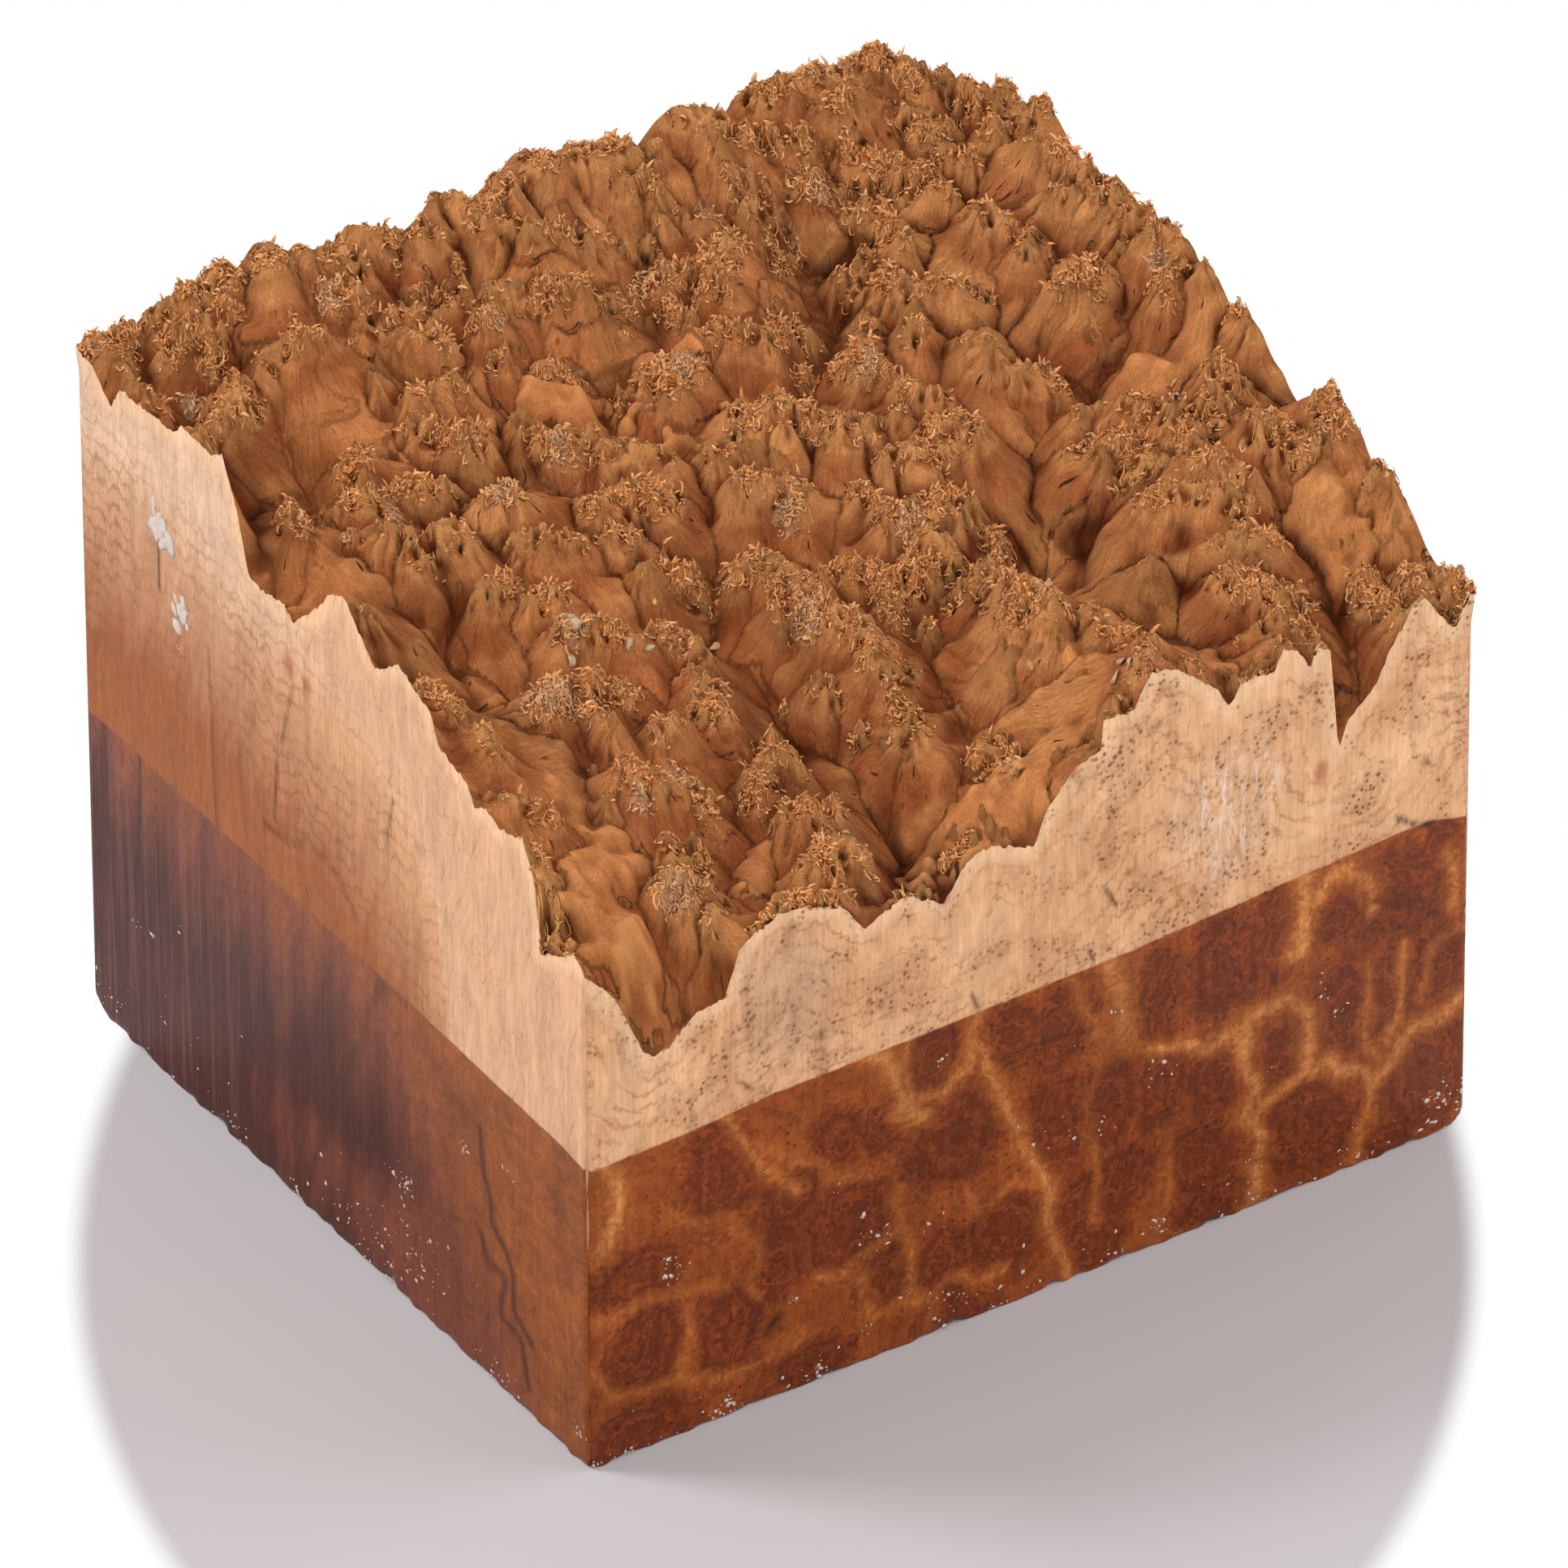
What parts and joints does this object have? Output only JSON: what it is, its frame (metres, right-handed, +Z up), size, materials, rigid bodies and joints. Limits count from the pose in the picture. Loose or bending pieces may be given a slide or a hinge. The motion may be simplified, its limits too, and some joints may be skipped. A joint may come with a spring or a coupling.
{
  "type": "mallee burl turning blank",
  "caption": "Block of burl wood sawn flat on its sides and base, with the natural burl surface of ridges, cones and creases left on top.",
  "frame": {"origin": "centre of the plan rectangle on the sawn base, at the height of the surface it rests on", "axes": "+Z up out of the burl face, +X along the longer front sawn face towards its right-hand corner, +Y from the front sawn face towards the back"},
  "size_m": [0.16, 0.142, 0.1323],
  "materials": {
    "wood": "sawn wood, waxed on the lower part, fibrous natural burl on top"
  },
  "bodies": {
    "root": {"burl_blank": "wood"}
  },
  "joints": []
}
